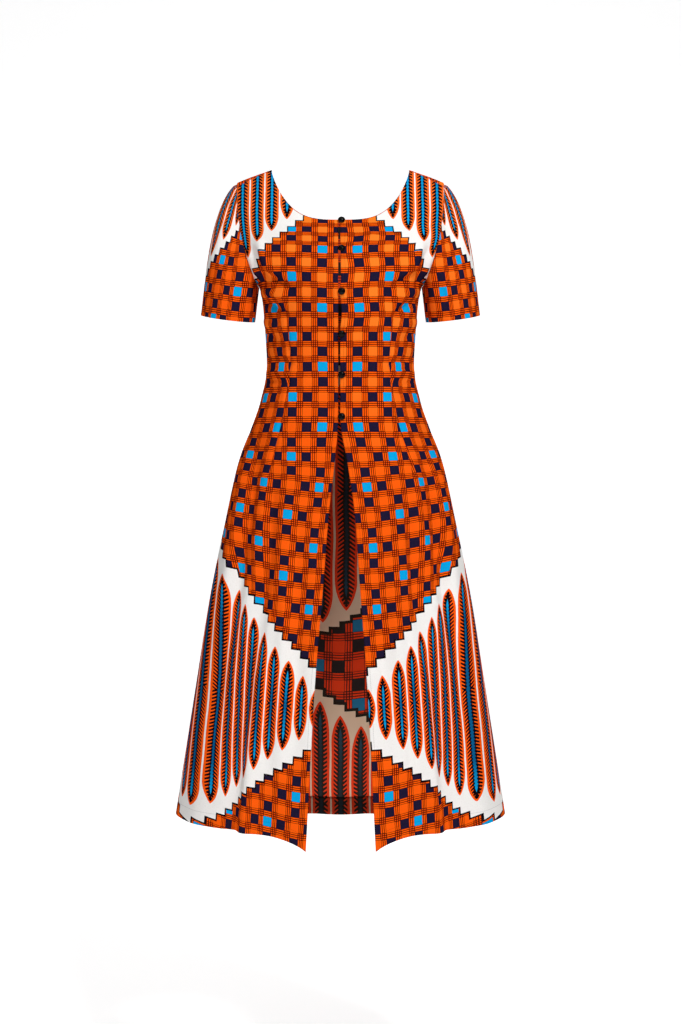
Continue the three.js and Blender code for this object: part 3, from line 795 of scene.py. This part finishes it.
# ---- Back ----
# One panel cut on the fold and shaped by two darts, its hem turned up inside. Its wide neck is
# cut a little higher than the fronts'.
BACK_NECK_DROP = 0.080
BACK_DIP = 0.041
BACK_COLUMNS = 76
BACK_FOLDS = [
    {"at": 0.16, "width": 0.08, "out": 0.008},
    {"at": 0.32, "width": 0.07, "out": -0.010},
    {"at": 0.5, "width": 0.08, "out": 0.010},
    {"at": 0.68, "width": 0.07, "out": -0.009},
    {"at": 0.84, "width": 0.07, "out": 0.007},
]
BACK_CREASES = [
    {"from": (0.088, -0.27), "to": (0.094, -0.60), "width": 0.0035, "out": -0.0020},
    {"from": (-0.088, -0.27), "to": (-0.094, -0.60), "width": 0.0035, "out": -0.0020},
    {"from": (0.160, -0.150), "to": (0.110, -0.260), "width": 0.010, "out": -0.0030},
    {"from": (-0.160, -0.160), "to": (-0.105, -0.255), "width": 0.010, "out": -0.0030},
    {"from": (0.145, -0.245), "to": (0.080, -0.290), "width": 0.008, "out": 0.0024},
    {"from": (-0.148, -0.235), "to": (-0.075, -0.285), "width": 0.008, "out": 0.0024},
    {"from": (0.130, -0.372), "to": (-0.060, -0.360), "width": 0.009, "out": -0.0026},
    {"from": (-0.134, -0.398), "to": (0.040, -0.388), "width": 0.008, "out": 0.0024},
    {"from": (0.136, -0.420), "to": (0.020, -0.432), "width": 0.008, "out": -0.0020},
    {"from": (-0.110, -0.60), "to": (-0.150, -1.10), "width": 0.012, "out": 0.0030},
    {"from": (0.060, -0.62), "to": (0.075, -1.15), "width": 0.014, "out": -0.0032},
    {"from": (0.150, -0.58), "to": (0.200, -1.05), "width": 0.012, "out": 0.0028},
    {"from": (-0.040, -0.66), "to": (-0.055, -1.18), "width": 0.014, "out": 0.0026},
]
BACK_PRINT = 1.42  # the print runs larger on the back
BACK_SHIFT = (0.0868, -0.0100)
BACK_PANELS = [
    {"at": (-0.0024, -0.092), "half": 0.211, "slope": 0.525, "step": 0.0152, "margin": 0.009,
     "pitch": 0.0341, "lead": -0.0137, "barb": 0.0062, "outline": 0.0042},
    {"at": (-0.0093, -0.565), "half": 0.211, "slope": 0.607, "step": 0.0152, "margin": 0.009,
     "pitch": 0.0282, "barb": 0.0062, "outline": 0.0042},
]


def centre_fold(level):
    return 0.0 * level


def back_dip(s):
    return BACK_DIP * (1 - s**2)


half_back = half_piece(-1, centre_fold, BACK_FOLDS, BACK_NECK_DROP, BACK_COLUMNS, back_dip)
half_flat = cut_map(half_back, centre_fold, back_at, -1)
back_net = np.concatenate([half_back[:, :0:-1] * [-1, 1, 1], half_back], axis=1)
back_flat = np.concatenate([half_flat[:, :0:-1] * [-1, 1], half_flat], axis=1)
back_edges = edge_map(back_net, back_flat)
back_edges[:, :, 0] += NO_EDGE
back_lift = sum(crease(back_net[:, :, 0], back_net[:, :, 2], mark) for mark in BACK_CREASES)
back_net = back_net - net_normals(back_net) * back_lift[:, :, None]
back_cotton = printed_cotton(
    "back_cotton", BACK_SHIFT, BACK_PANELS, grow=BACK_PRINT, hem_stitch=0.033)
back_inside = printed_cotton(
    "back_inside", BACK_SHIFT, BACK_PANELS, wrong_side=True, grow=BACK_PRINT, hem_stitch=0.033)
back = cloth(
    "back_cloth", back_net, back_flat, back_edges, (back_cotton, back_inside), WALL, False)
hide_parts("back")
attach(back, "root")

# ---- The back's hem ----
# The last 35 mm of the back, folded up inside and stitched through. The print on it runs upside
# down. It lies in the deepest shade of the skirt, and its colour is painted darker as painted shade.
TURN_UP = 0.035
TURN_UP_WALL = 0.0006
# painted shade: how much darker the turn-up's colour is painted
TURN_UP_PAINTED_SHADE = 0.66
CLEAR = slice(3, -3)  # its ends stop short of the side seams
turned = np.searchsorted(np.linspace(HEM, UNDERARM, SKIRT_ROWS + 1), HEM + TURN_UP)
inwards = net_normals(back_net)
hem_net = (back_net + inwards * (WALL + SEAM_GAP))[:turned + 1, CLEAR]
hem_flat = (2 * back_flat[:1] * [0, 1] + back_flat * [1, -1])[:turned + 1, CLEAR]
hem_cotton = printed_cotton(
    "back_hem", BACK_SHIFT, BACK_PANELS, wrong_side=True, grow=BACK_PRINT, dark=TURN_UP_PAINTED_SHADE)
hem = cloth(
    "back_turn_up", hem_net, hem_flat, back_edges[:turned + 1, CLEAR],
    (hem_cotton, back_inside), TURN_UP_WALL, True)
hem.modifiers["wall"].offset = 1
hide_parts("back_hem")
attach(hem, "root")

# ---- Sleeves ----
# One piece each, sewn into the armhole with its fullness gathered over the cap, and closed by a
# seam under the arm. The cuff is a plain turned hem.
CUFF = {"x": 0.2135, "z": -0.2815, "across": 0.0515, "deep": 0.062, "lean_out": 0.13,
        "lean_back": 0.16}
CAP = {"reach": 0.062, "out": 0.75, "rise": 0.25}
SLEEVE_UNDER = {"reach": 0.012, "out": 0.12, "fall": 0.85}
ARMHOLE_SPREAD = 0.110
CAP_SOON = 1.35
ARM_REACH = {"most": 0.070, "parts": 2.5}
SLEEVE_GAP = 0.0002
SLEEVE_COLUMNS = 168
SLEEVE_ROWS = 80
GATHERS = 23  # round the whole armhole; they fade out towards the underarm
GATHER_OUT = 0.0016
GATHER_FADE = {"down": 0.16, "seam": 0.03, "steep": 1.8, "from": 0.5}
GATHER_STRAY = {"often": 31, "far": 1.4}
SLEEVE_SEAT = 0.04  # the share of its length over which a sleeve settles onto its seam
SLEEVE_CREASES = [
    {"from": (0.10, 0.10), "to": (0.04, 0.62), "width": 0.020, "out": -0.0026},
    {"from": (-0.12, 0.08), "to": (-0.05, 0.55), "width": 0.018, "out": -0.0022},
    {"from": (0.20, 0.20), "to": (0.16, 0.80), "width": 0.022, "out": 0.0024},
    {"from": (0.30, 0.35), "to": (0.24, 0.95), "width": 0.020, "out": -0.0026},
    {"from": (-0.22, 0.25), "to": (-0.18, 0.90), "width": 0.024, "out": 0.0024},
    {"from": (-0.34, 0.30), "to": (-0.28, 0.95), "width": 0.020, "out": -0.0024},
    {"from": (0.02, 0.30), "to": (0.03, 0.85), "width": 0.020, "out": 0.0016},
]
SLEEVE_PANEL = {
    "at": (0.1329, 0.298), "half": 0.250, "slope": 1.0, "step": 0.0144, "margin": 0.012,
    "pitch": 0.036, "barb": 0.0074, "outline": 0.0026, "glow": 0.5, "leaf": PAINTED_LIGHT_AMBER_LEAF}
SLEEVE_ROUND = 0.057  # the sleeve's mean radius
# The gathers take up this much cloth for each length that shows, over the outer arm and past it.
PLEATED = {"half": 0.103, "taken": 1.57, "past": 1.05}


def sleeve_net():
    """Rows of points from the armhole to the cuff, the height round the cap and the arm's line."""
    front_edge = armhole_edge(1)
    back_edge = armhole_edge(-1)
    front_run = trunk(front_edge[:, 0], front_edge[:, 1])
    back_run = trunk(back_edge[:, 0], back_edge[:, 1])[::-1]
    run = np.concatenate([front_run, back_run[1:]])
    start = shared(run, np.linspace(0, 1, SLEEVE_COLUMNS + 1))
    start[-1] = start[0]
    turn = np.linspace(0, 2 * np.pi, SLEEVE_COLUMNS + 1)
    height = (start[:, 2] - UNDERARM) / (start[:, 2].max() - UNDERARM)
    cuff = np.stack([
        CUFF["x"] - CUFF["across"] * np.cos(turn), -CUFF["deep"] * np.sin(turn),
        np.full(len(turn), CUFF["z"])], axis=-1)
    cuff[:, 2] += (cuff[:, 0] - CUFF["x"]) * CUFF["lean_out"] + cuff[:, 1] * CUFF["lean_back"]
    up = smooth(height * CAP_SOON)
    outward = np.stack([
        SLEEVE_UNDER["out"] + CAP["out"] * up, start[:, 1] / ARMHOLE_SPREAD,
        CAP["rise"] * height - SLEEVE_UNDER["fall"]], axis=-1)
    outward /= np.linalg.norm(outward, axis=1)[:, None]
    out = SLEEVE_UNDER["reach"] + (CAP["reach"] - SLEEVE_UNDER["reach"]) * up
    seam = start + np.stack([
        np.full(len(turn), SLEEVE_GAP), np.zeros(len(turn)), -SLEEVE_GAP * (1 - height)], axis=-1)
    arm = np.array([CUFF["lean_out"], 0, -1])
    arm /= np.linalg.norm(arm)
    way = np.linalg.norm(cuff - seam, axis=1)
    straight = np.minimum(ARM_REACH["most"], way / ARM_REACH["parts"])
    second = seam + outward * out[:, None]
    third = cuff - arm * straight[:, None]
    rows = []
    for t in np.linspace(0, 1, SLEEVE_ROWS + 1):
        rows.append((1 - t) ** 3 * seam + 3 * (1 - t) ** 2 * t * second
                    + 3 * (1 - t) * t**2 * third + t**3 * cuff)
    return np.array(rows), height, arm


def sleeve(name, mirror, shift, painted_light_shift):
    net, height, arm = sleeve_net()
    share = np.broadcast_to(np.linspace(-0.5, 0.5, SLEEVE_COLUMNS + 1), net.shape[:2])
    down = np.broadcast_to(np.linspace(0, 1, SLEEVE_ROWS + 1)[:, None], net.shape[:2])
    out = net - net[-1].mean(axis=0)
    out = out - (out @ arm)[:, :, None] * arm
    angle = np.unwrap(np.arctan2(-out[:, :, 1], -out[:, :, 0]), axis=1)
    round_arm = (angle - angle[:, SLEEVE_COLUMNS // 2][:, None]) * SLEEVE_ROUND
    outer = np.clip(round_arm, -PLEATED["half"], PLEATED["half"])
    round_arm = PLEATED["taken"] * outer + PLEATED["past"] * (round_arm - outer)
    lengths = np.linalg.norm(np.diff(net, axis=0), axis=2)[::-1]
    up = np.concatenate([np.zeros((1, net.shape[1])), np.cumsum(lengths, axis=0)])[::-1]
    flat = np.stack([round_arm, up], axis=-1)
    edges = np.stack([round_arm + NO_EDGE, up], axis=-1)
    near_cap = smooth(height * GATHER_FADE["steep"] - GATHER_FADE["from"])[None, :]
    near_cap = near_cap * np.exp(-down / GATHER_FADE["down"]) * smooth(down / GATHER_FADE["seam"])
    stray = np.sin(share * GATHER_STRAY["often"]) * GATHER_STRAY["far"]
    gather = GATHER_OUT * (1 + np.cos(share * 2 * np.pi * GATHERS + stray))
    lift = gather * near_cap
    lift = lift + sum(crease(share, down, mark) for mark in SLEEVE_CREASES)
    lift = lift * smooth(down / SLEEVE_SEAT)
    net = net - net_normals(net) * lift[:, :, None]
    net[:, -1] = net[:, 0]
    net[:, :, 0] *= mirror
    outside = printed_cotton(
        name + "_cotton", shift, [SLEEVE_PANEL], painted_light_shift=painted_light_shift, hem_stitch=0.02)
    inside = printed_cotton(name + "_inside", shift, [SLEEVE_PANEL], wrong_side=True)
    piece = cloth(
        name + "_cloth", net, flat, edges, (outside, inside), WALL, mirror < 0, closed=True)
    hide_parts(name)
    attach(piece, "root")


# the last number shifts the painted light, so the sleeve on the key light's side is painted a
# lighter amber and the other a deeper orange
sleeve("sleeve_left", 1, (0.1329, 0.0), 0.3)
sleeve("sleeve_right", -1, (0.1329, 0.0), -0.2)

# ---- Buttons ----
# Six black domes, moulded in one with the narrow shanks behind them. Each is sewn by its shank
# to the left front, just beside its edge.
BUTTON = {"radius": 0.0068, "shank": 0.0019, "foot": 0.0028, "dome": 0.0046, "rim": 0.0005,
          "bevel": 0.0006}
BUTTON_STEPS = {"round": 48, "dome": 14}
SEAT_SPAN = {"across": 8, "up": 4}  # how many steps of the front's net give a button its tilt


def button_seat(height):
    """Where a button stands: origin on the cloth, z outward, x towards the wearer's left."""
    r = int(np.searchsorted(left_net[:, 0, 2], height))
    edge = left_net[r, 0]
    side = left_net[r, SEAT_SPAN["across"]] - edge
    side /= np.linalg.norm(side)
    up = left_net[r + SEAT_SPAN["up"], 0] - left_net[r - SEAT_SPAN["up"], 0]
    out = np.cross(side, up)
    out /= np.linalg.norm(out)
    seat = edge + side * (BUTTON_OFF_CENTRE - edge[0]) / side[0]
    seat[2] = height
    columns = [Vector(side), Vector(out).cross(Vector(side)), Vector(out)]
    return Matrix.Translation(Vector(seat)) @ Matrix(columns).transposed().to_4x4()


def black_gloss():
    material, shader, start = new_finish("black_gloss")
    place = start.node("ShaderNodeTexCoord", {}, {}, output="Object")
    worn = start.node("ShaderNodeTexNoise", {}, {"Vector": place, "Scale": 900.0, "Detail": 4.0})
    (worn * 0.05 + 0.05).feed(shader, "Roughness")
    worn.mix(srgb(9, 8, 9), srgb(3, 3, 4)).feed(shader, "Base Color")
    shader.inputs["Specular IOR Level"].default_value = 0.10
    return material


gloss = black_gloss()


def button(name, seat):
    radius, foot, dome, rim, shank = (
        BUTTON[key] for key in ("radius", "foot", "dome", "rim", "shank"))
    profile = [(0.0, SEAM_GAP), (shank, SEAM_GAP), (shank, foot), (radius - BUTTON["bevel"], foot)]
    for t in np.linspace(0.06, np.pi / 2, BUTTON_STEPS["dome"]):
        profile.append((radius * np.cos(t), foot + rim + (dome - rim) * np.sin(t)))
    profile[-1] = (0.0, foot + dome)
    bm = bmesh.new()
    verts = [bm.verts.new((x, 0, z)) for x, z in profile]
    edges = [bm.edges.new(pair) for pair in zip(verts, verts[1:])]
    bmesh.ops.spin(
        bm, geom=verts + edges, cent=(0, 0, 0), axis=(0, 0, 1), angle=2 * np.pi,
        steps=BUTTON_STEPS["round"], use_merge=True)
    bmesh.ops.remove_doubles(bm, verts=bm.verts, dist=1e-6)
    bmesh.ops.recalc_face_normals(bm, faces=bm.faces)
    bmesh.ops.transform(bm, matrix=seat, verts=bm.verts)
    mesh = bpy.data.meshes.new(name + "_dome")
    bm.to_mesh(mesh)
    bm.free()
    mesh.materials.append(gloss)
    mesh.shade_smooth()
    mesh.set_sharp_from_angle(angle=0.8)
    piece = placed(name + "_dome", mesh)
    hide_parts(name)
    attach(piece, "root")


# ---- Button loops ----
# A short twisted black cord for each button, passed round its shank. Its two ends are caught at
# the right front's edge.
LOOP_CORD = 0.0006  # the cord's radius
LOOP_START = 0.0029  # from the middle line, beside the right front's edge


def black_cord():
    material, shader, start = new_finish("black_cord")
    place = start.node("ShaderNodeTexCoord", {}, {}, output="Object")
    ply = start.node("ShaderNodeTexWave", {"bands_direction": "DIAGONAL"}, {
        "Vector": place, "Scale": 700.0, "Distortion": 1.5}, output=1)
    ply.mix(srgb(40, 36, 38), srgb(14, 12, 14)).feed(shader, "Base Color")
    bump = start.node("ShaderNodeBump", {}, {"Strength": 0.6, "Distance": 0.0002, "Height": ply})
    bump.feed(shader, "Normal")
    shader.inputs["Roughness"].default_value = 0.6
    return material


cord = black_cord()


def loop(name, seat):
    right = -BUTTON_OFF_CENTRE - LOOP_START
    lift = LOOP_CORD + 3 * SEAM_GAP
    bend = BUTTON["shank"] + LOOP_CORD + SEAM_GAP
    half = [
        (right, 0.0030, -0.0007), (right + 0.0005, 0.0032, 0.0006),
        (right + 0.0023, 0.0034, lift), (0.0004, bend + 0.0003, lift),
        (0.75 * bend, 0.75 * bend, lift)]
    back_half = [(x, -y, z) for x, y, z in reversed(half)]
    points = half + [(bend + 0.0002, 0, lift)] + back_half
    path = bpy.data.curves.new(name + "_path", "CURVE")
    path.dimensions = "3D"
    path.bevel_depth = LOOP_CORD
    path.bevel_resolution = 3
    path.resolution_u = 6
    path.use_fill_caps = True
    spline = path.splines.new("BEZIER")
    spline.bezier_points.add(len(points) - 1)
    for knot, point in zip(spline.bezier_points, points):
        knot.co = seat @ Vector(point)
        knot.handle_left_type = "AUTO"
        knot.handle_right_type = "AUTO"
    drawn = placed(name + "_path", path)
    bpy.context.view_layer.update()
    mesh = bpy.data.meshes.new_from_object(drawn.evaluated_get(
        bpy.context.evaluated_depsgraph_get()))
    bpy.data.objects.remove(drawn)
    mesh.materials.clear()
    mesh.materials.append(cord)
    piece = placed(name + "_cord", mesh)
    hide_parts(name)
    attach(piece, "root")


for number, height in enumerate(BUTTON_HEIGHTS, 1):
    button(f"button_{number}", button_seat(height))
    loop(f"loop_{number}", button_seat(height))

# ---- Studio ----
# A seamless white sweep, five soft lights and a level camera at the garment's mid height. The
# key light stands high on the wearer's left; the others fill the shade inside and behind.
FLOOR = -1.75
PAPER = {"shade": 0.92, "glow": 0.62}
SWEEP = {"near": -5.0, "far": 5.5, "half": 4.0, "top": 6.0, "bend": 1.5}
CAMERA = {"x": 0.001, "distance": 3.2, "height": -0.6489, "lens": 59.21}
LIGHTS = [
    {"name": "key", "at": (1.3, -2.6, 2.1), "aim": -0.5, "size": 0.8, "power": 104},
    {"name": "fill", "at": (-2.4, -2.6, 0.6), "aim": -0.4, "size": 1.6, "power": 15},
    {"name": "middle", "at": (-0.3, -3.3, -0.3), "aim": -0.6, "size": 0.5, "power": 9},
    {"name": "top", "at": (0.0, -0.8, 2.4), "aim": -0.3, "size": 1.4, "power": 12},
    {"name": "rear", "at": (0.6, 3.2, 1.6), "aim": -0.6, "size": 2.6, "power": 24},
]
DAYLIGHT = 0.06


def sweep():
    bm = bmesh.new()
    profile = [(SWEEP["near"], FLOOR)]
    for t in np.linspace(0, np.pi / 2, 13):
        profile.append((SWEEP["far"] - SWEEP["bend"] * (1 - np.sin(t)),
                        FLOOR + SWEEP["bend"] * (1 - np.cos(t))))
    profile.append((SWEEP["far"], SWEEP["top"]))
    verts = [bm.verts.new((-SWEEP["half"], y, z)) for y, z in profile]
    edges = [bm.edges.new(pair) for pair in zip(verts, verts[1:])]
    moved = bmesh.ops.extrude_edge_only(bm, edges=edges)["geom"]
    far_side = [part for part in moved if isinstance(part, bmesh.types.BMVert)]
    bmesh.ops.translate(bm, vec=(2 * SWEEP["half"], 0, 0), verts=far_side)
    mesh = bpy.data.meshes.new("sweep")
    bm.to_mesh(mesh)
    bm.free()
    mesh.shade_smooth()
    paper, shader, _ = new_finish("paper")
    shade = PAPER["shade"]
    shader.inputs["Base Color"].default_value = (shade, shade, shade, 1)
    shader.inputs["Roughness"].default_value = 0.9
    shader.inputs["Emission Color"].default_value = (1, 1, 1, 1)
    shader.inputs["Emission Strength"].default_value = PAPER["glow"]
    mesh.materials.append(paper)
    stage = placed("sweep", mesh)


def soft_light(name, at, aim, size, power):
    """A round lamp, turned to a height on the garment's middle line."""
    data = bpy.data.lights.new(name, "AREA")
    data.shape = "DISK"
    data.size = size
    data.energy = power
    lamp = placed(name, data)
    lamp.location = at
    line = Vector((0, 0, aim)) - Vector(at)
    lamp.rotation_euler = line.to_track_quat("-Z", "Y").to_euler()


sweep()
for light in LIGHTS:
    soft_light(**light)
world = bpy.data.worlds.new("studio")
world.use_nodes = True
background = world.node_tree.nodes["Background"]
background.inputs["Color"].default_value = (1, 1, 1, 1)
background.inputs["Strength"].default_value = DAYLIGHT
scene = bpy.context.scene
scene.world = world
scene.view_settings.view_transform = "Standard"

lens = bpy.data.cameras.new("camera")
lens.lens = CAMERA["lens"]
lens.sensor_width = 36
lens.sensor_fit = "AUTO"
camera = placed("camera", lens)
camera.location = (CAMERA["x"], -CAMERA["distance"], CAMERA["height"])
camera.rotation_euler = (np.pi / 2, 0, 0)
scene.camera = camera
